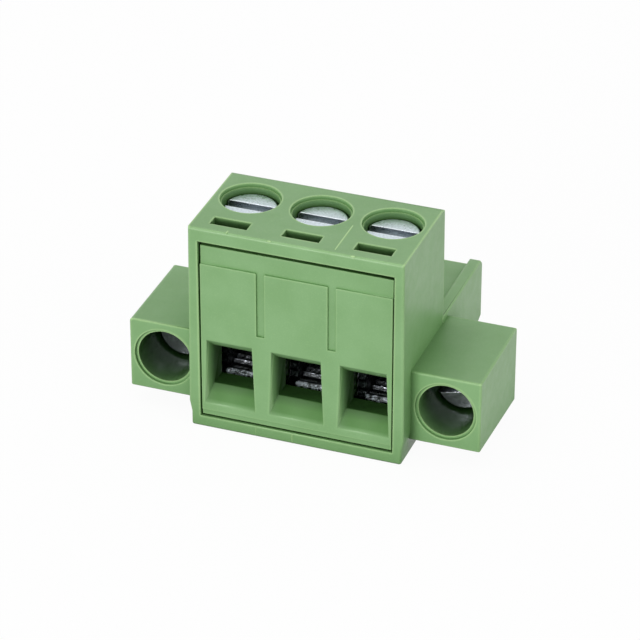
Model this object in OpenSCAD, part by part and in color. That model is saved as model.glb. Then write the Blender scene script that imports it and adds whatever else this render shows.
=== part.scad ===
// Pluggable screw terminal block, three poles, with a screw flange at each end.
// Millimetres. +Z up, +X along the row of poles, wires enter from -Y and the plug nose points to +Y.
// The origin is at the bottom, in the middle of the block's length and depth.

/* [Row] */
// Distance from one pole to the next
pitch = 5.08; // [5:0.01:5.3]

/* [Screw block] */
// Height of the screw block
block_h = 15.5; // [14.8:0.05:17]
// Depth of the screw block, without the plug nose
block_d = 8.45; // [8.4:0.05:10]
// How much the block widens at each end from its top to its foot
draft = 0.12; // [0.02:0.01:0.2]
// Radius of the top edge at the back
back_edge_r = 0.5; // [0.1:0.05:0.6]
// Radius of the upright edges at the back
corner_r = 0.35; // [0.2:0.05:0.6]
// How far the foot is set in at each end
foot_inset = 0.16; // [0.05:0.01:0.25]
// Height at which the foot starts to be set in
foot_h = 1.85; // [1.5:0.05:1.95]
// Height of the slope that leads to the foot
foot_slope_h = 0.8; // [0.2:0.05:1]

/* [Frame round the front] */
// Thickness of the frame at its ends
frame_side = 0.69; // [0.6:0.01:0.9]
// Thickness of the frame at the top
frame_top = 1.05; // [0.9:0.05:1.4]
// Thickness of the frame at the bottom
frame_bottom = 0.85; // [0.6:0.01:0.9]
// Depth of the pocket that takes the front insert
pocket_d = 2.6; // [2.4:0.05:2.8]

/* [Test slots] */
// Width of a test slot
slot_w = 2.6; // [2.45:0.05:3]
// Depth of a test slot from front to back
slot_d = 0.95; // [0.8:0.05:1.1]
// Distance of the test slots from the front
slot_y = 0.93; // [0.91:0.01:1]

/* [Front insert] */
// Gap between the insert and the frame
insert_gap = 0.09; // [0.05:0.01:0.15]
// Gap above the insert
insert_top_gap = 0.32; // [0.1:0.02:0.4]
// Setback of the insert's pads behind the frame
pad_setback = 0.1; // [0.05:0.01:0.2]
// How far the pads stand out of the panel
pad_rise = 0.15; // [0.1:0.05:0.25]
// Height of the strip above the pads
strip_h = 1.36; // [1:0.02:2]
// Width of the grooves between the pads
groove_w = 0.55; // [0.3:0.05:0.8]
// Height at which the grooves end
groove_z = 7.9; // [7.3:0.05:8.2]
// Height of the shallow step under the funnels
sill_step_z = 1.35; // [1.1:0.05:1.6]
// Depth of that step
sill_step_d = 0.08; // [0.04:0.01:0.12]
// Thickness of the panel behind the strip
panel_t = 0.5; // [0.4:0.02:0.54]
// Height of the block that holds the funnels
funnel_block_z = 8.3; // [7.8:0.1:9]
// Thickness of the ribs behind the panel
panel_rib_t = 0.9; // [0.6:0.05:1.1]

/* [Wire funnels] */
// Distance from one funnel to the next
funnel_pitch = 4.8; // [4.75:0.01:4.85]
// Width of a funnel's mouth at the top
mouth_top_w = 3.25; // [3.15:0.05:3.4]
// Width of a funnel's mouth at the bottom
mouth_bottom_w = 3.65; // [3.45:0.05:3.75]
// What the middle funnel has more in width
middle_extra_w = 0.25; // [0:0.05:0.3]
// Height of the mouth's upper edge
mouth_top_z = 6.9; // [6.6:0.05:7.1]
// Height of the mouth's lower edge
mouth_bottom_z = 1.9; // [1.8:0.05:2.2]
// Depth of the flared part, from the front
flare_d = 1.2; // [1:0.05:1.3]
// Width of the throat behind the flare
throat_w = 3.08; // [2.7:0.02:3.1]

/* [Clamp chambers] */
// Height of the chambers' floor
chamber_floor_z = 1.95; // [1.9:0.05:2.2]
// Depth of a chamber behind the insert
chamber_d = 4.72; // [4.66:0.02:4.9]
// Gap on each side between a cage and its chamber
cage_side_gap = 0.1; // [0.05:0.01:0.15]
// Distance of the screws from the front
screw_y = 5.13; // [5:0.01:5.2]
// Play under a screw's head
seat_gap = 0.05; // [0.02:0.01:0.1]

/* [Rising cages] */
// Width of a cage
cage_w = 3.6; // [3.5:0.02:3.7]
// Length of a cage along the wire
cage_d = 3.96; // [3.7:0.02:4.04]
// Thickness of a cage's side walls
cage_wall = 0.6; // [0.5:0.01:0.62]
// Thickness of a cage's floor
cage_floor_t = 0.7; // [0.6:0.05:0.8]
// Thickness of a cage's threaded top
cage_top_t = 1.7; // [1.4:0.1:1.8]
// Outer corner radius of a cage
cage_r = 0.3; // [0.15:0.05:0.4]
// Height of the serrations on the cage's floor
ridge_h = 0.25; // [0.1:0.01:0.3]
// Width of a serration at its foot
ridge_w = 0.5; // [0.4:0.05:0.7]
// Distance from the serration at a cage's lip to the next one
ridge_pitch = 1.95; // [1.6:0.05:2.1]
// Play under a cage at its lowest place
cage_rest_gap = 0.05; // [0.02:0.01:0.1]

/* [Clamping screws] */
// Radius of a screw's thread
thread_r = 1.46; // [1.4:0.02:1.5]
// Radius of a screw's head
head_r = 1.9; // [1.8:0.01:1.92]
// Thickness of a screw's head
head_t = 1.7; // [1.4:0.05:1.8]
// How far a head lies below the block's top
head_sink = 0.65; // [0.5:0.05:0.8]
// Width of the slot in a head
drive_w = 0.8; // [0.6:0.05:1]
// Depth of the slot in a head
drive_d = 0.9; // [0.6:0.05:1]
// Bevel round a head and a thread's tip
screw_bevel = 0.15; // [0.1:0.01:0.25]
// Gap between a thread and what it turns in
thread_gap = 0.05; // [0.03:0.01:0.08]
// Gap between a head and its bore
head_gap = 0.08; // [0.04:0.01:0.1]
// Width of the ledge at a bore's mouth
mouth_step_w = 0.12; // [0.06:0.01:0.15]
// Depth of the ledge at a bore's mouth
mouth_step_d = 0.25; // [0.15:0.05:0.35]

/* [Contacts] */
// Width of the current bar
bar_w = 2.2; // [2:0.05:2.2]
// Thickness of the current bar
bar_t = 0.8; // [0.6:0.05:0.9]
// Free height for a wire in an open clamp
wire_h = 3.0; // [2.8:0.05:3.1]
// Gap between a current bar and what surrounds it
bar_gap = 0.15; // [0.1:0.01:0.2]
// Land between a funnel's flare and the pocket for the bar's tip
bar_land = 0.2; // [0.1:0.01:0.25]
// Thickness of the contact's upright
upright_t = 0.5; // [0.4:0.05:0.55]
// Thickness of a socket's leaves
leaf_t = 0.4; // [0.3:0.02:0.45]
// Height of a socket's leaves
leaf_h = 2.0; // [1.8:0.05:2.2]
// Gap between the leaves where they grip the pin
grip_w = 0.8; // [0.7:0.02:0.9]
// Length of the socket's leaves
leaf_len = 7.5; // [7.2:0.05:7.7]

/* [Plug nose] */
// Length of the nose behind the screw block
nose_len = 8.45; // [8.2:0.05:9]
// Height of the nose's underside
nose_z = 1.2; // [1:0.05:1.4]
// Height of the nose's top between the ribs
nose_top_z = 6.45; // [6.3:0.05:6.55]
// Height of the ribs on the nose
rib_h = 0.66; // [0.5:0.02:0.7]
// Width of a rib at its top
rib_top_w = 0.82; // [0.7:0.02:1]
// Width that one sloped side adds to a rib at its foot
rib_slope_w = 0.3; // [0.1:0.02:0.4]
// Width of the slope under the nose's sides
nose_bevel_w = 0.42; // [0.2:0.02:0.6]
// Height of the slope under the nose's sides
nose_bevel_h = 1.4; // [0.8:0.05:1.5]
// Width of a contact chamber in the nose
socket_w = 3.0; // [2.9:0.05:3.3]
// Height of a contact chamber in the nose
socket_h = 3.0; // [2.7:0.05:3.1]
// Thickness of the nose's end wall
nose_wall = 0.8; // [0.6:0.05:0.9]
// Size of a pin opening in the end wall
pin_hole = 1.8; // [1.6:0.05:2]
// Width of the lead-in round a pin opening
pin_lead = 0.4; // [0.2:0.05:0.5]

/* [Flange ears] */
// Distance of the ears from the front
ear_y = 1.45; // [1.2:0.05:1.7]
// Depth of the ears
ear_d = 7.9; // [7.7:0.05:8.3]
// Height of the ears' underside at the front
ear_z = 1.26; // [1.1:0.02:1.4]
// Height of the ears
ear_h = 5.39; // [5.3:0.01:5.6]
// How much lower the ears' underside is at the back
ear_draft = 0.36; // [0:0.02:0.5]
// Wall outside a flange bore's axis
ear_wall = 2.5; // [2.45:0.05:3]

/* [Flange screws] */
// Radius of a flange screw's head
flange_head_r = 1.85; // [1.75:0.01:1.95]
// Thickness of a flange screw's head
flange_head_t = 1.7; // [1.3:0.05:1.8]
// Depth of a flange screw's head below the ear's front
flange_head_y = 3.55; // [3.4:0.05:3.8]
// Radius of a flange screw's thread
flange_thread_r = 1.25; // [1.22:0.01:1.28]
// Radius of a flange screw's neck
flange_neck_r = 1.0; // [0.9:0.01:1.05]
// How far a flange screw stands out behind its ear
flange_reach = 1.95; // [1.7:0.05:2.2]
// Play of a flange screw along its axis
flange_play = 0.1; // [0.05:0.01:0.15]
// Width of a flange screw's slot
flange_drive_w = 0.85; // [0.6:0.05:1]
// Depth of a flange screw's slot
flange_drive_d = 0.8; // [0.6:0.05:0.9]
// Turn of the left flange screw's slot
left_slot_turn = 40; // [-90:5:90]
// Turn of the right flange screw's slot
right_slot_turn = -14; // [-90:1:90]
// Width of the ledge at a flange bore's mouth
flange_step_w = 0.2; // [0.1:0.01:0.25]
// Depth of the ledge at a flange bore's mouth
flange_step_d = 0.2; // [0.1:0.05:0.3]

/* [Hidden] */
$fn = 64;
poles = 3;
// Overrun of every cut past the face that it opens
over = 0.2;
// Where a socket's leaf bends and where it grips, along its length
bend_share = 0.18;
grip_share = 0.68;

green = [0.50, 0.70, 0.47];
zinc = [0.78, 0.80, 0.84];
nickel = [0.62, 0.63, 0.65];
tin = [0.72, 0.72, 0.70];

block_w = poles * pitch;
foot_w = block_w + 2 * draft;
nose_w = block_w + 2 * draft;
overall_d = block_d + nose_len;
pole_xs = [for (i = [0 : poles - 1]) (i - (poles - 1) / 2) * pitch];
wall_xs = [for (i = [1 : poles - 1]) (i - poles / 2) * pitch];

// Heights of the clamp, from the chamber's floor up
cage_z = chamber_floor_z + cage_rest_gap;
cage_floor_z = cage_z + cage_floor_t;
ridge_z = cage_floor_z + ridge_h;
bar_z = ridge_z + wire_h;
bar_top_z = bar_z + bar_t;
cage_inner_top_z = bar_top_z + bar_gap;
cage_h = cage_inner_top_z + cage_top_t - cage_z;
cage_travel = wire_h - bar_gap;
chamber_top_z = cage_z + cage_h + cage_travel + bar_gap;
head_top_z = block_h - head_sink;
head_under_z = head_top_z - head_t;
screw_tip_z = bar_top_z + seat_gap;
cage_bore_z = screw_tip_z - cage_travel - bar_gap;

// Widths and depths of the clamp, from the front back
chamber_w = cage_w + 2 * cage_side_gap;
cage_inner_w = cage_w - 2 * cage_wall;
screw_bore_r = head_r + head_gap;
thread_bore_r = thread_r + thread_gap;
bar_pocket_y = flare_d + bar_land;
bar_front_y = bar_pocket_y + bar_gap;
chamber_back_y = pocket_d + chamber_d;
upright_y = chamber_back_y + bar_gap;
socket_y = upright_y + upright_t;
window_w = bar_w + 2 * bar_gap;

// The flange bores, the sockets and the header's pins share one height
axis_z = ear_z + ear_h / 2;
flange_x = (poles + 1) * pitch / 2;
ear_back_y = ear_y + ear_d;
flange_head_front_y = ear_y + flange_head_y;
flange_neck_y = flange_head_front_y + flange_head_t;
flange_bore_r = flange_head_r + 2 * thread_gap;
collar_bore_r = flange_neck_r + 2 * thread_gap;

// Runs a profile drawn as (y, z) along X, centred on x = 0
module along_x(length) {
    rotate([90, 0, 90])
        linear_extrude(length, center = true)
            children();
}

// Runs a profile drawn as (x, z) along Y, from one depth to another
module along_y(from, to) {
    translate([0, to, 0])
        rotate([90, 0, 0])
            linear_extrude(to - from)
                children();
}

// A box given by its two corners
module span(low, high) {
    translate(low)
        cube(high - low);
}

// A cylinder along Y
module bore_y(x, z, r, from, to) {
    translate([x, from, z])
        rotate([-90, 0, 0])
            cylinder(h = to - from, r = r);
}

module rounded_rect(w, h, r) {
    translate([r - w / 2, 0])
        square([w - 2 * r, h]);
    translate([-w / 2, r])
        square([w, h - 2 * r]);
    for (x = [r - w / 2, w / 2 - r], z = [r, h - r])
        translate([x, z])
            circle(r);
}

// The block from the front: wider towards its foot, which is set in again
module block_front_outline() {
    top_x = block_w / 2;
    wide_x = foot_w / 2;
    foot_x = wide_x - foot_inset;
    slope_z = foot_h - foot_slope_h;
    polygon([
        [top_x, block_h], [wide_x, foot_h], [foot_x, slope_z], [foot_x, 0],
        [-foot_x, 0], [-foot_x, slope_z], [-wide_x, foot_h], [-top_x, block_h]
    ]);
}

module block_side_outline() {
    square([block_d, block_h - back_edge_r]);
    square([block_d - back_edge_r, block_h]);
    translate([block_d - back_edge_r, block_h - back_edge_r])
        circle(back_edge_r);
}

module block_plan_outline() {
    translate([-foot_w / 2, 0])
        square([foot_w, block_d - corner_r]);
    translate([corner_r - foot_w / 2, 0])
        square([foot_w - 2 * corner_r, block_d]);
    for (side = [-1, 1])
        translate([side * (foot_w / 2 - corner_r), block_d - corner_r])
            circle(corner_r);
}

module screw_block() {
    intersection() {
        along_y(0, block_d)
            block_front_outline();
        along_x(foot_w)
            block_side_outline();
        linear_extrude(block_h)
            block_plan_outline();
    }
}

// Rib on the nose from x down to smaller x, its outer side upright or sloped
module nose_rib_outline(x, outer_slope) {
    rib_z = nose_top_z + rib_h;
    root_z = nose_top_z - rib_h;
    polygon([
        [x - rib_top_w - rib_slope_w, nose_top_z], [x - rib_top_w, rib_z],
        [x, rib_z], [x + outer_slope, nose_top_z],
        [x + outer_slope, root_z], [x - rib_top_w - rib_slope_w, root_z]
    ]);
}

module nose_outline() {
    half_w = nose_w / 2;
    bevel_z = nose_z + nose_bevel_h;
    polygon([
        [half_w, nose_top_z], [half_w, bevel_z],
        [half_w - nose_bevel_w, nose_z], [nose_bevel_w - half_w, nose_z],
        [-half_w, bevel_z], [-half_w, nose_top_z]
    ]);
    nose_rib_outline(half_w, 0);
    mirror([1, 0])
        nose_rib_outline(half_w, 0);
    for (x = wall_xs)
        nose_rib_outline(x + rib_top_w / 2, rib_slope_w);
}

// The nose from the side, with its end bevelled to lead it into the header
module nose_side_outline() {
    start_y = block_d - corner_r;
    rib_z = nose_top_z + rib_h;
    polygon([
        [start_y, nose_z], [overall_d - corner_r, nose_z], [overall_d, nose_z + corner_r],
        [overall_d, rib_z - corner_r], [overall_d - corner_r, rib_z], [start_y, rib_z]
    ]);
}

module nose() {
    intersection() {
        along_y(block_d - corner_r, overall_d)
            nose_outline();
        along_x(nose_w)
            nose_side_outline();
    }
}

module ear(side) {
    root_x = foot_w / 2 - foot_inset - corner_r;
    outer_x = flange_x + ear_wall;
    translate([side * (root_x + outer_x) / 2, 0, 0])
        along_x(outer_x - root_x)
            polygon([
                [ear_y, ear_z], [ear_back_y, ear_z - ear_draft],
                [ear_back_y, ear_z + ear_h], [ear_y, ear_z + ear_h]
            ]);
}

// Stepped bore of a flange: ledge at the mouth, bore for the head, collar for the neck
module flange_bore(side) {
    x = side * flange_x;
    bore_y(x, axis_z, flange_bore_r + flange_step_w, ear_y - over, ear_y + flange_step_d);
    bore_y(x, axis_z, flange_bore_r, ear_y - over, flange_neck_y + flange_play);
    bore_y(x, axis_z, collar_bore_r, ear_y, ear_back_y + over);
}

// Chamber of one clamp, with the stepped bore for its screw and the test slot
module clamp_chamber(x) {
    seat_z = head_under_z - seat_gap;
    span([x - chamber_w / 2, pocket_d - over, chamber_floor_z],
         [x + chamber_w / 2, chamber_back_y, chamber_top_z]);
    translate([x, screw_y, chamber_top_z - over])
        cylinder(h = seat_z - chamber_top_z + 2 * over, r = thread_bore_r);
    translate([x, screw_y, seat_z])
        cylinder(h = block_h - seat_z + over, r = screw_bore_r);
    translate([x, screw_y, block_h - mouth_step_d])
        cylinder(h = mouth_step_d + over, r = screw_bore_r + mouth_step_w);
    span([x - slot_w / 2, slot_y, block_h - frame_top - over],
         [x + slot_w / 2, slot_y + slot_d, block_h + over]);
}

// Chamber of one contact: the window behind the clamp, the socket and the pin opening
module contact_chamber(x) {
    low_z = axis_z - socket_h / 2;
    high_z = axis_z + socket_h / 2;
    span([x - window_w / 2, chamber_back_y - over, low_z],
         [x + window_w / 2, socket_y + bar_gap, bar_top_z + bar_gap]);
    span([x - window_w / 2, socket_y, low_z],
         [x + window_w / 2, block_d + over, high_z]);
    span([x - socket_w / 2, block_d, low_z],
         [x + socket_w / 2, overall_d - nose_wall, high_z]);
    translate([x, 0, axis_z])
        pin_opening();
}

// Square pin opening that widens towards the outside on all four sides
module pin_opening() {
    half = pin_hole / 2;
    wide = half + pin_lead + over;
    lead_y = overall_d - pin_lead;
    inner_y = overall_d - nose_wall - over;
    end_y = overall_d + over;
    outline = [
        [inner_y, -half], [lead_y, -half], [end_y, -wide],
        [end_y, wide], [lead_y, half], [inner_y, half]
    ];
    intersection() {
        along_x(2 * wide)
            polygon(outline);
        translate([0, 0, -wide])
            linear_extrude(2 * wide)
                polygon([for (p = outline) [p[1], p[0]]]);
    }
}

module housing_solid() {
    pocket_x = block_w / 2 - frame_side;
    difference() {
        union() {
            screw_block();
            nose();
            ear(-1);
            ear(1);
        }
        span([-pocket_x, -over, frame_bottom], [pocket_x, pocket_d, block_h - frame_top]);
        for (x = pole_xs) {
            clamp_chamber(x);
            contact_chamber(x);
        }
        flange_bore(-1);
        flange_bore(1);
    }
}

// One wire funnel: a flared mouth, wider below than above, and a straight throat behind it
module wire_funnel(x, extra_w) {
    top_half = (mouth_top_w + extra_w) / 2;
    bottom_half = (mouth_bottom_w + extra_w) / 2;
    throat_half = (throat_w + extra_w) / 2;
    front_y = pad_setback - over;
    translate([x, 0, 0]) {
        intersection() {
            along_y(front_y, flare_d)
                polygon([
                    [bottom_half, mouth_bottom_z], [top_half, mouth_top_z],
                    [-top_half, mouth_top_z], [-bottom_half, mouth_bottom_z]
                ]);
            translate([0, 0, mouth_bottom_z])
                linear_extrude(mouth_top_z - mouth_bottom_z)
                    polygon([
                        [-bottom_half, front_y], [-bottom_half, pad_setback], [-throat_half, flare_d],
                        [throat_half, flare_d], [bottom_half, pad_setback], [bottom_half, front_y]
                    ]);
            along_x(2 * bottom_half)
                polygon([
                    [front_y, mouth_bottom_z], [pad_setback, mouth_bottom_z],
                    [flare_d, ridge_z], [flare_d, bar_z],
                    [pad_setback, mouth_top_z], [front_y, mouth_top_z]
                ]);
        }
        span([-throat_half, flare_d - over, ridge_z], [throat_half, pocket_d + over, bar_z]);
    }
}

// Pocket round the bar's tip, and the shaft that leads a test probe down to it
module bar_pocket(x) {
    span([x - cage_inner_w / 2, bar_pocket_y, bar_z - over],
         [x + cage_inner_w / 2, pocket_d + over, bar_top_z + bar_gap]);
    span([x - slot_w / 2, slot_y, bar_top_z], [x + slot_w / 2, slot_y + slot_d, funnel_block_z + over]);
}

module front_insert_solid() {
    half_w = block_w / 2 - frame_side - insert_gap;
    low = frame_bottom + insert_gap;
    high = block_h - frame_top - insert_top_gap;
    panel_y = pad_setback + pad_rise;
    pads_z = high - strip_h;
    difference() {
        union() {
            span([-half_w, panel_y, low], [half_w, panel_y + panel_t, high]);
            span([-half_w, pad_setback, sill_step_z], [half_w, panel_y + over, pads_z]);
            span([-half_w, pad_setback + sill_step_d, low], [half_w, pocket_d, funnel_block_z]);
            for (x = concat(wall_xs, [half_w - panel_rib_t / 2, panel_rib_t / 2 - half_w]))
                span([x - panel_rib_t / 2, panel_y, low], [x + panel_rib_t / 2, pocket_d, high]);
        }
        for (x = wall_xs)
            span([x - groove_w / 2, -over, groove_z], [x + groove_w / 2, panel_y, pads_z + over]);
        for (i = [0 : poles - 1])
            wire_funnel((i - (poles - 1) / 2) * funnel_pitch,
                        i > 0 && i < poles - 1 ? middle_extra_w : 0);
        for (x = pole_xs)
            bar_pocket(x);
    }
}

// Serration across a cage's floor, sharp on top
module serration(y) {
    mid_y = y + ridge_w / 2;
    along_x(cage_inner_w + cage_wall)
        polygon([
            [y, cage_floor_z], [mid_y, ridge_z],
            [y + ridge_w, cage_floor_z], [mid_y, cage_floor_z - ridge_h]
        ]);
}

// A cage, its tapped bore cut into the side walls as far down as the screw reaches in it
module clamp_cage_solid(x) {
    front_y = screw_y - cage_d / 2;
    back_y = screw_y + cage_d / 2;
    translate([x, 0, 0]) {
        difference() {
            along_y(front_y, back_y)
                translate([0, cage_z])
                    rounded_rect(cage_w, cage_h, cage_r);
            along_y(front_y - over, back_y + over)
                translate([0, cage_floor_z])
                    rounded_rect(cage_inner_w, cage_inner_top_z - cage_floor_z, cage_r / 2);
            translate([0, screw_y, cage_bore_z])
                cylinder(h = cage_z + cage_h - cage_bore_z + over, r = thread_bore_r);
        }
        serration(front_y);
        serration(front_y + ridge_pitch);
    }
}

module clamp_screw_solid(x) {
    translate([x, screw_y, 0])
        difference() {
            rotate_extrude()
                polygon([
                    [0, screw_tip_z], [thread_r - 2 * screw_bevel, screw_tip_z],
                    [thread_r, screw_tip_z + 2 * screw_bevel], [thread_r, head_under_z],
                    [head_r, head_under_z], [head_r, head_top_z - screw_bevel],
                    [head_r - screw_bevel, head_top_z], [0, head_top_z]
                ]);
            span([-head_r - over, -drive_w / 2, head_top_z - drive_d],
                 [head_r + over, drive_w / 2, head_top_z + over]);
        }
}

// One leaf of the socket, seen from above: straight at its root, closing to the grip, then open
module leaf_outline() {
    root_x = bar_w / 2;
    grip_x = grip_w / 2 + leaf_t;
    mouth_x = root_x - leaf_t / 2;
    bend_y = socket_y + leaf_len * bend_share;
    grip_y = socket_y + leaf_len * grip_share;
    end_y = socket_y + leaf_len;
    polygon([
        [root_x, upright_y], [root_x, bend_y], [grip_x, grip_y], [mouth_x, end_y],
        [mouth_x - leaf_t, end_y], [grip_x - leaf_t, grip_y],
        [root_x - leaf_t, bend_y], [root_x - leaf_t, upright_y]
    ]);
}

module contact_solid(x) {
    leaf_z = axis_z - leaf_h / 2;
    translate([x, 0, 0]) {
        span([-bar_w / 2, bar_front_y, bar_z], [bar_w / 2, socket_y, bar_top_z]);
        span([-bar_w / 2, upright_y, leaf_z], [bar_w / 2, socket_y, bar_top_z]);
        for (side = [0, 1])
            mirror([side, 0, 0])
                translate([0, 0, leaf_z])
                    linear_extrude(leaf_h)
                        leaf_outline();
    }
}

module flange_screw_solid(side, slot_turn) {
    thread_y = ear_back_y + flange_play;
    tip_y = ear_back_y + flange_reach;
    translate([side * flange_x, 0, axis_z])
        difference() {
            rotate([-90, 0, 0])
                rotate_extrude()
                    polygon([
                        [0, flange_head_front_y], [flange_head_r - screw_bevel, flange_head_front_y],
                        [flange_head_r, flange_head_front_y + screw_bevel], [flange_head_r, flange_neck_y],
                        [flange_neck_r, flange_neck_y], [flange_neck_r, thread_y],
                        [flange_thread_r, thread_y], [flange_thread_r, tip_y - 2 * screw_bevel],
                        [flange_thread_r - 2 * screw_bevel, tip_y], [0, tip_y]
                    ]);
            rotate([0, slot_turn, 0])
                span([-flange_head_r - over, flange_head_front_y - over, -flange_drive_w / 2],
                     [flange_head_r + over, flange_head_front_y + flange_drive_d, flange_drive_w / 2]);
        }
}

// Moves what is drawn from the front face so that the origin is in the middle of the depth
module centred() {
    translate([0, -overall_d / 2, 0])
        children();
}

module housing() { color(green) centred() housing_solid(); }
module front_insert() { color(green) centred() front_insert_solid(); }
module clamp_screw(i) { color(zinc) centred() clamp_screw_solid(pole_xs[i]); }
module clamp_cage(i) { color(nickel) centred() clamp_cage_solid(pole_xs[i]); }
module contact(i) { color(tin) centred() contact_solid(pole_xs[i]); }
module flange_screw_left() { color(zinc) centred() flange_screw_solid(-1, left_slot_turn); }
module flange_screw_right() { color(zinc) centred() flange_screw_solid(1, right_slot_turn); }

housing();
front_insert();
clamp_screw(0);  // clamp_screw_1
clamp_screw(1);  // clamp_screw_2
clamp_screw(2);  // clamp_screw_3
clamp_cage(0);  // clamp_cage_1
clamp_cage(1);  // clamp_cage_2
clamp_cage(2);  // clamp_cage_3
contact(0);  // contact_1
contact(1);  // contact_2
contact(2);  // contact_3
flange_screw_left();
flange_screw_right();
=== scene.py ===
"""Pluggable screw terminal block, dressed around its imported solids. Metres, in the part's frame."""

import bmesh
import bpy
import numpy as np
from mathutils import Matrix, Vector


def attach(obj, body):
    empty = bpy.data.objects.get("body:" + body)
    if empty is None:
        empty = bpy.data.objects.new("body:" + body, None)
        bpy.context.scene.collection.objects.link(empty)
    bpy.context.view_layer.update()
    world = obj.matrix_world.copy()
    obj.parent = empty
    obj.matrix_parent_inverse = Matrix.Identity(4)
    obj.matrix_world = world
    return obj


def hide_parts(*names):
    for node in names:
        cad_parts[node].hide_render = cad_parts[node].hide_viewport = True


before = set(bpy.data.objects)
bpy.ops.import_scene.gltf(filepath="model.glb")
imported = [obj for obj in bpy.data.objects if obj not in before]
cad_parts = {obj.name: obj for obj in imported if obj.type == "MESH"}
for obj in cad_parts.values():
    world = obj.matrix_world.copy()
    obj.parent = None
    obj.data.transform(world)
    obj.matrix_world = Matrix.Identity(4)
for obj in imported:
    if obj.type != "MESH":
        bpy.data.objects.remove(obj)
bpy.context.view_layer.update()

# Camera and light. A long lens looks down on the block from its front right. The room is white
# and even, with one large soft light in front, a weaker one on the right and one from above.
MM = 0.001
CAM_TURN = np.radians(20.174)
CAM_TILT = np.radians(30.622)
CAM_ROLL = np.radians(0.056)
CAM_AWAY = 237.15 * MM
CAM_LENS = 195.21
CAM_AIM = Vector((-0.402, -2.45, -0.416))
AIM_HEIGHT = 7.0
ROOM_LIGHT = 0.56

right = Vector((np.cos(CAM_TURN), np.sin(CAM_TURN), 0))
level = np.cos(CAM_TILT)
back = Vector((np.sin(CAM_TURN) * level, -np.cos(CAM_TURN) * level, np.sin(CAM_TILT)))
up = back.cross(right)
aim = (Vector((0, CAM_AIM.y, AIM_HEIGHT)) + right * CAM_AIM.x + up * CAM_AIM.z) * MM
rolled_right = right * np.cos(CAM_ROLL) + up * np.sin(CAM_ROLL)
rolled_up = up * np.cos(CAM_ROLL) - right * np.sin(CAM_ROLL)
camera = bpy.data.objects.new("camera", bpy.data.cameras.new("camera"))
bpy.context.scene.collection.objects.link(camera)
camera.matrix_world = Matrix.Translation(aim + back * CAM_AWAY) @ Matrix(
    (rolled_right, rolled_up, back)
).transposed().to_4x4()
camera.data.lens = CAM_LENS
camera.data.sensor_width = 36
camera.data.clip_start = 0.01
bpy.context.scene.camera = camera
bpy.context.scene.view_settings.view_transform = "Standard"


def soft_light(name, place, watts, size):
    """A square area light at a place in metres, turned towards the middle of the block."""
    lamp = bpy.data.objects.new(name, bpy.data.lights.new(name, "AREA"))
    bpy.context.scene.collection.objects.link(lamp)
    lamp.location = place
    lamp.rotation_euler = (Vector((0, 0, 0.006)) - Vector(place)).to_track_quat("-Z", "Y").to_euler()
    lamp.data.energy = watts
    lamp.data.size = size


soft_light("front_light", (-0.12, -0.45, 0.05), 1.50, 0.20)
soft_light("right_light", (0.42, -0.08, 0.11), 0.46, 0.22)
soft_light("top_light", (-0.20, -0.02, 0.42), 0.32, 0.22)


def white_for_view(tree):
    """1 for camera, glossy and transmitted rays and 0 for diffuse ones, so that the room stays
    white in view."""
    path = tree.nodes.new("ShaderNodeLightPath")
    first = tree.nodes.new("ShaderNodeMath")
    first.operation = "MAXIMUM"
    second = tree.nodes.new("ShaderNodeMath")
    second.operation = "MAXIMUM"
    tree.links.new(path.outputs["Is Camera Ray"], first.inputs[0])
    tree.links.new(path.outputs["Is Glossy Ray"], first.inputs[1])
    tree.links.new(first.outputs[0], second.inputs[0])
    tree.links.new(path.outputs["Is Transmission Ray"], second.inputs[1])
    return second.outputs[0]


world = bpy.data.worlds.new("white_room")
bpy.context.scene.world = world
world.use_nodes = True
room = world.node_tree
for node in list(room.nodes):
    room.nodes.remove(node)
lit = room.nodes.new("ShaderNodeBackground")
lit.inputs["Strength"].default_value = ROOM_LIGHT
seen = room.nodes.new("ShaderNodeBackground")
for shade in (lit, seen):
    shade.inputs["Color"].default_value = (1, 1, 1, 1)
pick = room.nodes.new("ShaderNodeMixShader")
room_out = room.nodes.new("ShaderNodeOutputWorld")
room.links.new(white_for_view(room), pick.inputs[0])
room.links.new(lit.outputs[0], pick.inputs[1])
room.links.new(seen.outputs[0], pick.inputs[2])
room.links.new(pick.outputs[0], room_out.inputs[0])

# Floor. A white sheet under the block, which keeps its faint shadow.
FLOOR_HALF = 2.0
FLOOR_DROP = 0.00001
FLOOR_GREY = (0.34, 0.34, 0.34)
FLOOR_VEIL = 0.95
corners = np.array([(-1, -1), (1, -1), (1, 1), (-1, 1)]) * FLOOR_HALF
sheet = bpy.data.meshes.new("floor")
sheet.from_pydata([(x, y, -FLOOR_DROP) for x, y in corners], [], [(0, 1, 2, 3)])
floor = bpy.data.objects.new("floor", sheet)
bpy.context.scene.collection.objects.link(floor)
paper = bpy.data.materials.new("white_paper")
paper.use_nodes = True
tree = paper.node_tree
tree.nodes.remove(tree.nodes["Principled BSDF"])
matt = tree.nodes.new("ShaderNodeBsdfDiffuse")
in_view = tree.nodes.new("ShaderNodeLightPath")
sheet_colour = tree.nodes.new("ShaderNodeMix")
sheet_colour.data_type = "RGBA"
sheet_colour.inputs["A"].default_value = (*FLOOR_GREY, 1)
sheet_colour.inputs["B"].default_value = (1, 1, 1, 1)
tree.links.new(in_view.outputs["Is Camera Ray"], sheet_colour.inputs["Factor"])
tree.links.new(sheet_colour.outputs["Result"], matt.inputs["Color"])
glow = tree.nodes.new("ShaderNodeEmission")
veil = tree.nodes.new("ShaderNodeMixShader")
weight = tree.nodes.new("ShaderNodeMath")
weight.operation = "MULTIPLY"
weight.inputs[1].default_value = FLOOR_VEIL
tree.links.new(white_for_view(tree), weight.inputs[0])
tree.links.new(weight.outputs[0], veil.inputs[0])
tree.links.new(matt.outputs[0], veil.inputs[1])
tree.links.new(glow.outputs[0], veil.inputs[2])
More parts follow.
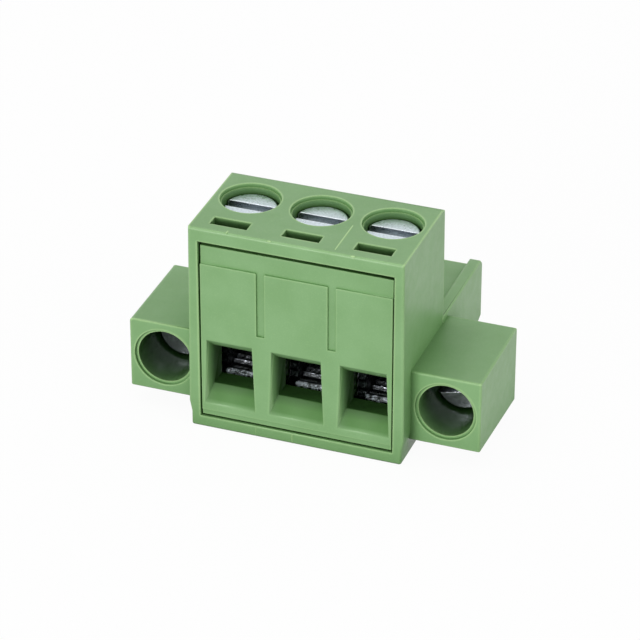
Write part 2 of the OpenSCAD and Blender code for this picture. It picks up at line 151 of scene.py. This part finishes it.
tree.links.new(veil.outputs[0], tree.nodes["Material Output"].inputs[0])
sheet.materials.append(paper)

# Housing. One moulding of green polyamide: screw block, plug nose and both flange ears. The mould
# leaves a fine matt grain, and every outer edge comes out of it a little round.
BEVEL_SPAN = 0.3
WELD = 1e-6
FLAT = np.radians(0.1)
SHARP = 30
PITCH = 5.08
BLOCK_DEPTH = 8.45
BLOCK_TOP = 15.5
SCREW_Y = 5.13
EAR_X = 10.16
BORE_Z = 3.955
RIB_CUT = 7.25


def merged(node):
    """A copy of a CAD node's mesh as a bmesh, its loose triangles welded and flat neighbours joined."""
    work = bmesh.new()
    work.from_mesh(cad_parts[node].data)
    bmesh.ops.remove_doubles(work, verts=work.verts, dist=WELD)
    bmesh.ops.dissolve_limit(work, angle_limit=FLAT, verts=work.verts, edges=work.edges)
    work.normal_update()
    return work


def edge_facts(work):
    """For each edge: its middle and length in mm, its direction, and its turn in degrees, above 0
    if convex."""
    work.edges.ensure_lookup_table()
    ends = np.array([[e.verts[0].co, e.verts[1].co] for e in work.edges]) / MM
    turn = np.array([np.degrees(e.calc_face_angle_signed(0)) for e in work.edges])
    along = ends[:, 1] - ends[:, 0]
    length = np.linalg.norm(along, axis=1)
    return ends.mean(axis=1), length, along / np.maximum(length, 1e-9)[:, None], turn


def softened(work, name, widths, segments=3):
    """The finished piece: edge i is rounded over widths[i] mm, and sharp edges with no width stay
    sharp."""
    layer = work.edges.layers.float.new("bevel_weight_edge")
    for edge, width, turn in zip(work.edges, widths, edge_facts(work)[3]):
        edge[layer] = width / BEVEL_SPAN
        edge.smooth = width > 0 or abs(turn) < SHARP
    for face in work.faces:
        face.smooth = True
    mesh = bpy.data.meshes.new(name)
    work.to_mesh(mesh)
    work.free()
    piece = bpy.data.objects.new(name, mesh)
    bpy.context.scene.collection.objects.link(piece)
    bevel = piece.modifiers.new("round_edges", "BEVEL")
    bevel.limit_method = "WEIGHT"
    bevel.width = BEVEL_SPAN * MM
    bevel.segments = segments
    bevel.use_clamp_overlap = False
    weld = piece.modifiers.new("close_slivers", "WELD")
    weld.merge_threshold = WELD
    normals = piece.modifiers.new("flat_faces", "WEIGHTED_NORMAL")
    normals.keep_sharp = True
    return piece


def shader(name):
    """A new material and its node tree, with pattern coordinates in mm on the object."""
    material = bpy.data.materials.new(name)
    material.use_nodes = True
    tree = material.node_tree
    place = tree.nodes.new("ShaderNodeTexCoord")
    scale = tree.nodes.new("ShaderNodeMapping")
    scale.inputs["Scale"].default_value = (1 / MM, 1 / MM, 1 / MM)
    tree.links.new(place.outputs["Object"], scale.inputs["Vector"])
    return material, tree, tree.nodes["Principled BSDF"], scale.outputs[0]


def noise(tree, coords, scale, detail=2.0, stretch=None):
    """Noise of a scale given in waves per mm, stretched along the axes if asked."""
    if stretch:
        mapping = tree.nodes.new("ShaderNodeMapping")
        mapping.inputs["Scale"].default_value = stretch
        tree.links.new(coords, mapping.inputs["Vector"])
        coords = mapping.outputs[0]
    node = tree.nodes.new("ShaderNodeTexNoise")
    node.inputs["Scale"].default_value = scale
    node.inputs["Detail"].default_value = detail
    tree.links.new(coords, node.inputs["Vector"])
    return node.outputs["Fac"]


def spread(tree, value, low, high, to_low, to_high):
    """Takes a value from one range to another and holds it there."""
    node = tree.nodes.new("ShaderNodeMapRange")
    numbers = (low, high, to_low, to_high)
    for socket, number in zip(("From Min", "From Max", "To Min", "To Max"), numbers):
        node.inputs[socket].default_value = number
    tree.links.new(value, node.inputs["Value"])
    return node.outputs["Result"]


def tinted(tree, base, factor, colour, blend="MIX"):
    """Mixes a colour into a base, which is a colour or a socket, by a factor socket."""
    node = tree.nodes.new("ShaderNodeMix")
    node.data_type = "RGBA"
    node.blend_type = blend
    if isinstance(base, tuple):
        node.inputs["A"].default_value = (*base, 1)
    else:
        tree.links.new(base, node.inputs["A"])
    node.inputs["B"].default_value = (*colour, 1)
    tree.links.new(factor, node.inputs["Factor"])
    return node.outputs["Result"]


def parted(tree, vector):
    """The X, Y and Z of a vector socket."""
    node = tree.nodes.new("ShaderNodeSeparateXYZ")
    tree.links.new(vector, node.inputs[0])
    return node.outputs["X"], node.outputs["Y"], node.outputs["Z"]


def times(tree, first, second):
    """The product of two sockets."""
    node = tree.nodes.new("ShaderNodeMath")
    node.operation = "MULTIPLY"
    tree.links.new(first, node.inputs[0])
    tree.links.new(second, node.inputs[1])
    return node.outputs[0]


def towards(tree, base, factor, number):
    """Moves a base socket towards a number by a factor socket."""
    node = tree.nodes.new("ShaderNodeMix")
    node.inputs["B"].default_value = number
    tree.links.new(factor, node.inputs["Factor"])
    tree.links.new(base, node.inputs["A"])
    return node.outputs["Result"]


def bump(tree, height, depth_mm, normal=None):
    """Bump of a given depth in mm from a height between 0 and 1."""
    node = tree.nodes.new("ShaderNodeBump")
    node.inputs["Distance"].default_value = depth_mm * MM
    node.inputs["Strength"].default_value = 1
    tree.links.new(height, node.inputs["Height"])
    if normal:
        tree.links.new(normal, node.inputs["Normal"])
    return node.outputs[0]


def near_edge(tree, distance_mm, inside):
    """Ambient occlusion within a distance: inside the solid it finds outer edges, outside it finds
    crevices."""
    node = tree.nodes.new("ShaderNodeAmbientOcclusion")
    node.samples = 6
    node.inside = inside
    node.inputs["Distance"].default_value = distance_mm * MM
    return node.outputs["AO"]


# GREEN is the base. GREEN_PALE serves random flecks and painted highlights, GREEN_DEEP random clouding
# and painted shade in corners, and GREEN_SHADE and GREEN_DARK only painted shade.
GREEN = (0.228, 0.424, 0.182)
GREEN_PALE = (0.450, 0.690, 0.310)
GREEN_DEEP = (0.150, 0.320, 0.105)
GREEN_SHADE = (0.085, 0.230, 0.050)
GREEN_DARK = (0.010, 0.042, 0.006)


def green_polyamide(name, recess=0.0):
    """Moulded green polyamide: cloudy colour and fine matt grain, with painted highlights on outer
    edges and painted shade in corners, tight gaps, low places and cavities. A recess above 0 is for
    the wire funnels: painted shade on their floors by that share, and on their flared walls a painted
    highlight in front and painted shade behind."""
    material, tree, surface, coords = shader(name)
    cloud = spread(tree, noise(tree, coords, 0.35, 3), 0.35, 0.65, 0.0, 0.35)
    colour = tinted(tree, GREEN, cloud, GREEN_DEEP)
    fleck = spread(tree, noise(tree, coords, 9.0, 2), 0.55, 0.75, 0.0, 0.12)
    colour = tinted(tree, colour, fleck, GREEN_PALE)
    # Painted highlight: paler within 0.17 mm of outer edges, where their rounding would catch the
    # light.
    edge_highlight = spread(tree, near_edge(tree, 0.17, True), 0.58, 0.95, 0.3 if recess else 1.0, 0.0)
    colour = tinted(tree, colour, edge_highlight, GREEN_PALE)
    # Painted shade: a deeper green within 1.2 mm of inner corners.
    shaded = spread(tree, near_edge(tree, 1.2, False), 0.35, 0.95, 0.65, 0.0)
    colour = tinted(tree, colour, shaded, GREEN_DEEP)
    # Painted shade: near black in tight gaps and slots.
    narrow_shade = spread(tree, near_edge(tree, 1.6, False), 0.10, 0.48, 0.0 if recess else 0.75, 0.0)
    colour = tinted(tree, colour, narrow_shade, GREEN_DARK)
    # Painted shade: a deeper green where little of the room is open, low down by the floor and in large
    # corners; the same mask makes these places rougher.
    open_share = near_edge(tree, 6.0, False)
    low = spread(tree, open_share, 0.40, 0.85, 0.12 if recess else 0.62, 0.0)
    colour = tinted(tree, colour, low, GREEN_SHADE)
    hollow_shade = spread(tree, open_share, 0.10, 0.46, 0.15 if recess else 0.94, 0.0)
    if recess:
        _, place_y, _ = parted(tree, coords)
        facing = parted(tree, tree.nodes.new("ShaderNodeNewGeometry").outputs["Normal"])
        facing_x, facing_y, facing_z = facing
        floors = spread(tree, facing_z, 0.2, 0.6, 0.0, 1.0)
        # Painted shade: funnel floors darker behind the mouth, by the recess share.
        depth = spread(tree, place_y, -8.36, -8.10, 0.0, recess)
        colour = tinted(tree, colour, times(tree, depth, floors), GREEN_SHADE)
        # Painted highlight: the front of each flared wall paler.
        flares = spread(tree, facing_y, -0.40, -0.25, 1.0, 0.0)
        flares = times(tree, flares, spread(tree, facing_x, 0.65, 0.8, 0.0, 1.0))
        lit = spread(tree, place_y, -8.20, -7.75, 0.4, 0.0)
        colour = tinted(tree, colour, times(tree, flares, lit), GREEN_PALE)
        # Painted shade: the flared walls darker further in.
        unlit = spread(tree, place_y, -7.90, -7.60, 0.0, 0.5)
        colour = tinted(tree, colour, times(tree, flares, unlit), GREEN_DARK)
        # Painted shade: everything in the funnel throats darker towards the back.
        behind = spread(tree, place_y, -7.75, -7.15, 0.0, 0.6)
        colour = tinted(tree, colour, behind, GREEN_DARK)
    # Painted shade: near black deep in cavities such as the bores; the same mask makes them glossier.
    colour = tinted(tree, colour, hollow_shade, GREEN_DARK)
    tree.links.new(colour, surface.inputs["Base Color"])
    satin = spread(tree, noise(tree, coords, 1.5, 3), 0.3, 0.7, 0.36, 0.46)
    dull = towards(tree, satin, low, 0.85)
    tree.links.new(towards(tree, dull, hollow_shade, 0.11), surface.inputs["Roughness"])
    grain = bump(tree, noise(tree, coords, 14.0, 3), 0.006)
    tree.links.new(bump(tree, noise(tree, coords, 0.6, 1), 0.01, grain), surface.inputs["Normal"])
    surface.inputs["IOR"].default_value = 1.53
    return material


green = green_polyamide("green_polyamide")

work = merged("housing")
# An extra edge across the ribs keeps the rounding of the nose's end off their length.
bmesh.ops.bisect_plane(
    work, geom=work.verts[:] + work.edges[:] + work.faces[:], dist=WELD,
    plane_co=(0, RIB_CUT * MM, 0), plane_no=(0, 1, 0),
)
mid, length, along, turn = edge_facts(work)
x, y, z = np.abs(mid[:, 0]), mid[:, 1] + BLOCK_DEPTH, mid[:, 2]
convex = turn > SHARP
on_top = np.abs(z - BLOCK_TOP) < 0.02
pole = np.abs(x - PITCH * np.round(x / PITCH))
from_screw = np.hypot(pole, y - SCREW_Y)
from_flange = np.hypot(x - EAR_X, z - BORE_Z)
pin_opening = (pole < 1.7) & (np.abs(z - BORE_Z) < 1.7)
upright = np.abs(along[:, 2]) > 0.9
straight = length > 0.45
widths = np.where(convex & straight, 0.08, 0.0)
on_face = (np.abs(y) < 0.02) | on_top | (z < 0.02)
outer = convex & straight & on_face & ((x > 7.4) | (z > 15.4) | (z < 0.1))
widths[outer] = 0.17
widths[convex & straight & (x > 7.4) & upright & (y < 0.1)] = 0.17
ear_edges = convex & (x > 7.75) & straight & (from_flange > 2.4)
widths[ear_edges] = 0.12
left_top = (mid[:, 0] < -12) & (z > 6) & (np.abs(along[:, 1]) > 0.9)
widths[ear_edges & left_top] = 0.3
widths[convex & straight & (y > 8.7) & (x < 7.75) & (z > 1.0)] = 0.14
widths[convex & (y > 16.2) & (x < 7.2) & (z > 6.0)] = 0.05
widths[(x > 7.55) & (x < 7.75) & (y > 8.2) & (y < 8.44) & upright] = 0.0
widths[convex & straight & (y > 16.6) & pin_opening] = 0.06
widths[on_top & (from_screw < 3.0) & (from_screw > 1.9) & convex] = 0.035
widths[on_top & (y > 0.8) & (y < 2.0) & (pole < 1.4) & convex] = 0.06
widths[(np.abs(y - 1.45) < 0.02) & (from_flange < 2.3) & convex] = 0.06
widths[(y > 0.1) & (y < 8.59) & (x < 7.3) & (z > 0.7) & ~on_top] = 0.0
widths[(y > 8.7) & (y < 16.0) & (pole < 1.6) & (np.abs(z - BORE_Z) < 1.7)] = 0.0
housing = softened(work, "moulded_housing", widths)


def power(value, exponent):
    """The value's size raised to an exponent, with its sign kept."""
    return np.sign(value) * np.abs(value) ** exponent


def raised_mark(centre, radii, corner=1.0, steps=(24, 12)):
    """A low mark left by the mould: a superellipsoid about a centre, with three radii in mm. Its
    outline is x = a cos(v)^0.4 cos(u), y = b cos(v)^0.4 sin(u), z = c sin(v), with the cosine and
    the sine of u raised to the corner's power and z along its thinnest radius."""
    around = np.linspace(0, 2 * np.pi, steps[0], endpoint=False)
    up_down = np.linspace(-np.pi / 2, np.pi / 2, steps[1] + 1)[1:-1]
    u, v = np.meshgrid(around, up_down)
    thin = int(np.argmin(radii))
    wide = [i for i in range(3) if i != thin]
    rings = np.zeros((*u.shape, 3))
    girth = power(np.cos(v), 0.4)
    rings[..., wide[0]] = radii[wide[0]] * girth * power(np.cos(u), corner)
    rings[..., wide[1]] = radii[wide[1]] * girth * power(np.sin(u), corner)
    rings[..., thin] = radii[thin] * np.sin(v)
    poles = np.zeros((2, 3))
    poles[:, thin] = (-radii[thin], radii[thin])
    points = (np.vstack([rings.reshape(-1, 3), poles]) + np.array(centre)) * MM
    row, col = np.meshgrid(np.arange(steps[1] - 2), np.arange(steps[0]), indexing="ij")
    a, b = row * steps[0] + col, row * steps[0] + (col + 1) % steps[0]
    faces = np.stack([a, b, b + steps[0], a + steps[0]], axis=-1).reshape(-1, 4).tolist()
    ring, after = np.arange(steps[0]), (np.arange(steps[0]) + 1) % steps[0]
    last = (steps[1] - 2) * steps[0]
    faces += [(rings.size // 3, int(j), int(i)) for i, j in zip(ring, after)]
    faces += [(rings.size // 3 + 1, int(last + i), int(last + j)) for i, j in zip(ring, after)]
    mesh = bpy.data.meshes.new("mark")
    mesh.from_pydata(points.tolist(), [], faces)
    return mesh


def joined(piece, meshes):
    """Adds closed meshes to a piece's own mesh, all smooth, with their faces outwards."""
    both = bmesh.new()
    both.from_mesh(piece.data)
    known = len(both.faces)
    for mesh in meshes:
        both.from_mesh(mesh)
    both.faces.ensure_lookup_table()
    added = both.faces[known:]
    bmesh.ops.recalc_face_normals(both, faces=added)
    for face in added:
        face.smooth = True
    both.to_mesh(piece.data)
    both.free()


MARKS = [
    ((-4.85, -8.27, 15.495), (0.06, 0.20, 0.035), 1.0),
    ((-1.82, -8.40, 15.46), (0.13, 0.05, 0.05), 1.0),
    ((4.04, -8.39, 15.46), (0.16, 0.05, 0.05), 1.0),
    ((2.655, -6.25, 15.5), (0.05, 1.80, 0.009), 0.5),
    ((-2.87, -8.45, 0.45), (0.025, 0.012, 0.38), 0.5),
    ((-0.24, -8.45, 0.45), (0.045, 0.02, 0.38), 0.5),
]
joined(housing, [raised_mark(*mark) for mark in MARKS])
housing.data.materials.append(green)
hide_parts("housing")
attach(housing, "block")

# Front insert. A second moulding of the same polyamide, pushed into the frame, with three flat
# pads over the three flared wire funnels.
work = merged("front_insert")
mid, _, _, turn = edge_facts(work)
x, y, z = np.abs(mid[:, 0]), mid[:, 1] + BLOCK_DEPTH, mid[:, 2]
convex = turn > SHARP
widths = np.where(convex & (y < 0.4), 0.05, 0.0)
widths[convex & (y < 0.22) & (z > 1.8) & (z < 7.0) & (x < 6.6)] = 0.09
widths[convex & (np.abs(z - 1.35) < 0.05)] = 0.03
widths[convex & (y > 0.3) & (y < 0.4) & (z > 12.7)] = 0.09
widths[convex & (y > 1.1) & (y < 1.3) & (z < 3.1)] = 0.06
front_insert = softened(work, "funnel_insert", widths)
front_insert.data.materials.append(green_polyamide("green_polyamide_funnels", 0.9))
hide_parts("front_insert")
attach(front_insert, "block")


# Clamping screws. Slotted M3 screws of zinc-plated steel, turned on a lathe, with a rolled thread.
# Each head comes from the solid, and its shank is replaced by a thread.
# Painted shade in cavities and deep in bores, painted highlights on edges, painted shade on cage walls,
# a painted highlight along a serration and painted glints on a coined edge, in that order; then the
# darker grains' share.
HOLLOW_SHADE_STEEL = (0.03, 0.055, 0.10)
DEEP_SHADE_STEEL = (0.05, 0.06, 0.06)
HIGHLIGHT_STEEL = (0.92, 0.94, 0.98)
WALL_SHADE_STEEL = (0.012, 0.016, 0.015)
RIDGE_HIGHLIGHT_STEEL = (0.85, 0.90, 1.0)
COINED_GLINT_STEEL = (0.82, 0.90, 1.0)
GRAIN_SHARE = 0.74


def plated_steel(name, colour, low, high, sunk=0.92, lip=False):
    """Plated steel: small grains of different brightness, fine scratches and a clouded gloss from
    roughness low to high, with painted shade in crevices and, by the sunk share, deep in bores, and
    painted highlights on edges. With a lip, it is for the cages: painted shade on the walls, a
    painted highlight along one serration, and painted glints as matt white spots on the coined front
    edge."""
    material, tree, surface, coords = shader(name)
    grains = spread(tree, noise(tree, coords, 7.0, 3), 0.3, 0.7, 0.0, 1.0)
    darker = tuple(c * GRAIN_SHARE for c in colour)
    # Painted shade: darker within 0.9 mm of crevices.
    hollow_shade = spread(tree, near_edge(tree, 0.9, False), 0.10, 0.70, 0.9, 0.0)
    tone = tinted(tree, tinted(tree, colour, grains, darker), hollow_shade, HOLLOW_SHADE_STEEL)
    # Painted shade: dark deep in bores and chambers, by the sunk share.
    deep_shade = spread(tree, near_edge(tree, 5.0, False), 0.10, 0.50, sunk, 0.0)
    tone = tinted(tree, tone, deep_shade, DEEP_SHADE_STEEL)
    # Painted highlight: pale edges, weak on the cages.
    edge_highlight = spread(tree, near_edge(tree, 0.14, True), 0.55, 0.92, 0.15 if lip else 0.8, 0.0)
    tone = tinted(tree, tone, edge_highlight, HIGHLIGHT_STEEL)
    rough = bump(tree, noise(tree, coords, 16.0, 3), 0.012)
    if lip:
        place_x, place_y, place_z = parted(tree, coords)
        across = tree.nodes.new("ShaderNodeMath")
        across.operation = "PINGPONG"
        across.inputs[1].default_value = PITCH / 2
        tree.links.new(place_x, across.inputs[0])
        from_pole = across.outputs[0]
        # Painted shade: the cage near black above its floor and on its walls.
        inside = spread(tree, from_pole, 1.74, 1.78, 1.0, 0.0)
        above_floor = spread(tree, place_z, 3.0, 3.1, 0.0, 0.97)
        tone = tinted(tree, tone, times(tree, inside, above_floor), WALL_SHADE_STEEL)
        walls = spread(tree, from_pole, 1.10, 1.20, 0.0, 0.95)
        tone = tinted(tree, tone, times(tree, inside, walls), WALL_SHADE_STEEL)
        # Painted highlight along the first serration behind the front edge.
        ridge_highlight = spread(tree, place_z, 2.84, 2.90, 0.0, 0.9)
        ridge_highlight = times(tree, ridge_highlight, spread(tree, place_y, -4.06, -3.98, 0.12, 1.0))
        ridge_highlight = times(tree, ridge_highlight, spread(tree, place_y, -3.58, -3.50, 1.0, 0.12))
        ridge_highlight = times(tree, ridge_highlight, spread(tree, place_z, 2.98, 3.02, 1.0, 0.0))
        ridge_highlight = times(tree, ridge_highlight, spread(tree, from_pole, 1.0, 1.15, 1.0, 0.0))
        tone = tinted(tree, tone, ridge_highlight, RIDGE_HIGHLIGHT_STEEL)
        # Painted glints: matt white, less metallic spots on the coined front edge of the floor.
        coined = spread(tree, place_y, -5.16, -5.00, 1.0, 0.0)
        spots = spread(tree, noise(tree, coords, 3.8, 3), 0.42, 0.54, 0.0, 1.0)
        coined = times(tree, coined, spots)
        coined = times(tree, coined, spread(tree, place_z, 3.0, 3.05, 1.0, 0.0))
        coined = times(tree, coined, spread(tree, from_pole, 1.12, 1.24, 1.0, 0.0))
        tone = tinted(tree, tone, coined, COINED_GLINT_STEEL)
        tree.links.new(spread(tree, coined, 0.0, 1.0, 1.0, 0.4), surface.inputs["Metallic"])
        rough = bump(tree, noise(tree, coords, 3.5, 2), 0.11, rough)
    else:
        surface.inputs["Metallic"].default_value = 1
    tree.links.new(tone, surface.inputs["Base Color"])
    gloss = spread(tree, noise(tree, coords, 3.0, 3), 0.3, 0.7, low, high)
    tree.links.new(gloss, surface.inputs["Roughness"])
    scratches = noise(tree, coords, 5.0, 3, (1, 8, 1))
    tree.links.new(bump(tree, scratches, 0.008, rough), surface.inputs["Normal"])
    return material


zinc = plated_steel("zinc_plated_steel", (0.80, 0.885, 0.96), 0.24, 0.42)


def thread(centre, axis, start, end, crest, root, pitch=0.5, round_steps=48, pitch_steps=8):
    """A screw thread on a grid of turn and length, in mm: the radius rises and falls once per pitch
    along a helix, as a trapezium wave of (length / pitch - turn / full turn), and fades to the root
    at both ends."""
    turns = np.linspace(0, 2 * np.pi, round_steps, endpoint=False)
    rows = int((end - start) / pitch * pitch_steps) + 1
    lengths = np.linspace(start, end, rows)
    angle, height = np.meshgrid(turns, lengths)
    phase = (height / pitch - angle / (2 * np.pi)) % 1
    wave = np.clip((0.5 - np.abs(phase - 0.5)) * 2 * 1.5 - 0.25, 0, 1)
    fade = np.clip(np.minimum(height - start, end - height) / (0.8 * pitch), 0, 1)
    radius = root + (crest - root) * wave * fade
    rings = np.stack([radius * np.cos(angle), radius * np.sin(angle), height], axis=-1).reshape(-1, 3)
    points = np.vstack([rings, [(0, 0, start), (0, 0, end)]])
    row, col = np.meshgrid(np.arange(rows - 1), np.arange(round_steps), indexing="ij")
    a, b = row * round_steps + col, row * round_steps + (col + 1) % round_steps
    quads = np.stack([a, b, b + round_steps, a + round_steps], axis=-1).reshape(-1, 4).tolist()
    ring = np.arange(round_steps)
    after = (ring + 1) % round_steps
    last = (rows - 1) * round_steps
    caps = [(rows * round_steps, int(j), int(i)) for i, j in zip(ring, after)]
    caps += [(rows * round_steps + 1, int(last + i), int(last + j)) for i, j in zip(ring, after)]
    if axis == "Y":
        points = np.stack([points[:, 0], points[:, 2], -points[:, 1]], axis=1)
    points = (points + np.array(centre)) * MM
    mesh = bpy.data.meshes.new("thread")
    mesh.from_pydata(points.tolist(), [], quads + caps)
    return mesh


def screw(node, name, body, centre, axis, keep_below, thread_span, crest, root, finish):
    """A screw whose head comes from the solid, its plain shank cut away, with a real thread in its
    place."""
    work = merged(node)
    side = 1 if axis == "Z" else -1
    normal = Vector((0, 0, 1)) if axis == "Z" else Vector((0, 1, 0))
    cut = Vector((0, 0, keep_below)) if axis == "Z" else Vector((0, keep_below, 0))
    geometry = work.verts[:] + work.edges[:] + work.faces[:]
    bmesh.ops.bisect_plane(
        work, geom=geometry, dist=WELD, plane_co=cut * MM, plane_no=normal,
        clear_inner=side > 0, clear_outer=side < 0,
    )
    bmesh.ops.holes_fill(work, edges=[e for e in work.edges if e.is_boundary])
    bmesh.ops.recalc_face_normals(work, faces=work.faces)
    work.normal_update()
    turn = edge_facts(work)[3]
    piece = softened(work, name, np.where(turn > 25, 0.04, 0.0), 2)
    shank = thread(centre, axis, *thread_span, crest, root)
    both = bmesh.new()
    both.from_mesh(piece.data)
    both.from_mesh(shank)
    for face in both.faces:
        face.smooth = True
    both.to_mesh(piece.data)
    both.free()
    piece.data.materials.append(finish)
    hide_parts(node)
    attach(piece, body)


for number, pole_x in enumerate((-PITCH, 0.0, PITCH), 1):
    screw(
        f"clamp_screw_{number}", f"clamping_screw_{number}", f"screw_{number}",
        (pole_x, -3.32, 0), "Z", 13.1, (6.8, 13.15), 1.46, 1.2, zinc,
    )

# Rising cages. Strips of nickel-plated steel folded to a box round the current bar, with sharp
# serrations punched across the floor, where the wire is bitten.
nickel = plated_steel("nickel_plated_steel", (0.66, 0.68, 0.74), 0.25, 0.45, lip=True)
CAGE_FRONT = -5.30
CAGE_INNER = 1.2
CAGE_FLOOR = 2.7
LOBE = 0.65
SERRATIONS = ((0.68, 0.10, 0.36), (1.32, 0.24, 0.42))


def wavy_cutter(pole_x, side, setback, phase, rows=48):
    """Cuts the front edge of a cage's side wall back to a row of lobes: a square bar, lofted in
    height, whose back face lies at setback + 0.16 |sin(pi z / lobe + phase)| behind the front and
    comes forward at both ends."""
    z = np.linspace(CAGE_FLOOR + 0.1, 6.6, rows)
    ease = np.clip(np.minimum((z - z[0]) / 0.15, (z[-1] - z) / 0.5), 0, 1)
    back_y = CAGE_FRONT - 0.02 + ease * (setback + 0.16 * np.abs(np.sin(np.pi * z / LOBE + phase)))
    x0, x1 = sorted((pole_x + side * (CAGE_INNER - 0.15), pole_x + side * 2.0))
    corners = np.stack([
        np.stack([np.full(rows, x0), np.full(rows, CAGE_FRONT - 0.3), z], -1),
        np.stack([np.full(rows, x1), np.full(rows, CAGE_FRONT - 0.3), z], -1),
        np.stack([np.full(rows, x1), back_y, z], -1),
        np.stack([np.full(rows, x0), back_y, z], -1),
    ], axis=1).reshape(-1, 3)
    row, col = np.meshgrid(np.arange(rows - 1), np.arange(4), indexing="ij")
    a, b = row * 4 + col, row * 4 + (col + 1) % 4
    faces = np.stack([a, b, b + 4, a + 4], axis=-1).reshape(-1, 4).tolist()
    top = 4 * (rows - 1)
    return corners, faces + [(3, 2, 1, 0), (top, top + 1, top + 2, top + 3)]


def ridge(pole_x, y, height, width):
    """A punched serration: a triangle across the floor, its foot sunk into the floor and its ends
    into the walls."""
    half = CAGE_INNER + 0.1
    foot = CAGE_FLOOR - 0.05
    outline = np.array([(y, foot), (y + width, foot), (y + width / 2, CAGE_FLOOR + height)])
    points = np.array([(pole_x + s, *p) for s in (-half, half) for p in outline])
    return points, [(0, 1, 2), (5, 4, 3), (0, 3, 4, 1), (1, 4, 5, 2), (2, 5, 3, 0)]


def carved(work, tools):
    """The work with each tool cut out of it or added to it, in millimetres while the solids are
    joined."""
    bmesh.ops.scale(work, vec=(1 / MM,) * 3, verts=work.verts)
    mesh = bpy.data.meshes.new("blank")
    work.to_mesh(mesh)
    work.free()
    blank = bpy.data.objects.new("blank", mesh)
    bpy.context.scene.collection.objects.link(blank)
    helpers = []
    for operation, (points, faces) in tools:
        shape = bpy.data.meshes.new("tool")
        shape.from_pydata(points.tolist(), [], faces)
        tidy = bmesh.new()
        tidy.from_mesh(shape)
        bmesh.ops.recalc_face_normals(tidy, faces=tidy.faces)
        tidy.to_mesh(shape)
        tidy.free()
        helper = bpy.data.objects.new("tool", shape)
        bpy.context.scene.collection.objects.link(helper)
        helpers.append(helper)
        cut = blank.modifiers.new("carve", "BOOLEAN")
        cut.operation = operation
        cut.object = helper
        cut.solver = "EXACT"
    view = bpy.context.evaluated_depsgraph_get()
    result = bmesh.new()
    result.from_mesh(bpy.data.meshes.new_from_object(blank.evaluated_get(view)))
    for leftover in [blank, *helpers]:
        bpy.data.objects.remove(leftover)
    bmesh.ops.scale(result, vec=(MM,) * 3, verts=result.verts)
    bmesh.ops.remove_doubles(result, verts=result.verts, dist=WELD)
    result.normal_update()
    return result


for number, pole_x, setback in ((1, -PITCH, 0.30), (2, 0.0, 0.55), (3, PITCH, 0.12)):
    tools = [("DIFFERENCE", wavy_cutter(pole_x, side, setback, number + side)) for side in (-1, 1)]
    for behind, height, width in SERRATIONS:
        tools.append(("UNION", ridge(pole_x, CAGE_FRONT + behind, height, width)))
    work = carved(merged(f"clamp_cage_{number}"), tools)
    _, length, _, turn = edge_facts(work)
    widths = np.where((turn > 50) & (length > 0.3), 0.03, 0.0)
    cage = softened(work, f"rising_cage_{number}", widths, 2)
    cage.data.materials.append(nickel)
    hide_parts(f"clamp_cage_{number}")
    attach(cage, f"cage_{number}")

# Contacts. Each is one stamping of tinned copper alloy: the current bar in front, and the two
# leaves behind that grip the header's pin.
tin = plated_steel("tinned_copper_alloy", (0.74, 0.73, 0.70), 0.3, 0.5)
for number in (1, 2, 3):
    work = merged(f"contact_{number}")
    _, length, _, turn = edge_facts(work)
    widths = np.where((turn > 50) & (length > 0.3), 0.05, 0.0)
    contact = softened(work, f"tinned_contact_{number}", widths, 2)
    contact.data.materials.append(tin)
    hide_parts(f"contact_{number}")
    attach(contact, "block")

# Flange screws. Captive slotted M2.5 screws that sit deep in the ears, their threads behind.
bright_zinc = plated_steel("bright_zinc_plated_steel", (0.80, 0.86, 0.92), 0.12, 0.26, 0.6)
for side, pole_x in (("left", -EAR_X), ("right", EAR_X)):
    screw(
        f"flange_screw_{side}", f"captive_flange_screw_{side}", f"{side}_flange_screw",
        (pole_x, 0, BORE_Z), "Y", 0.95, (0.95, 2.85), 1.25, 1.0, bright_zinc,
    )
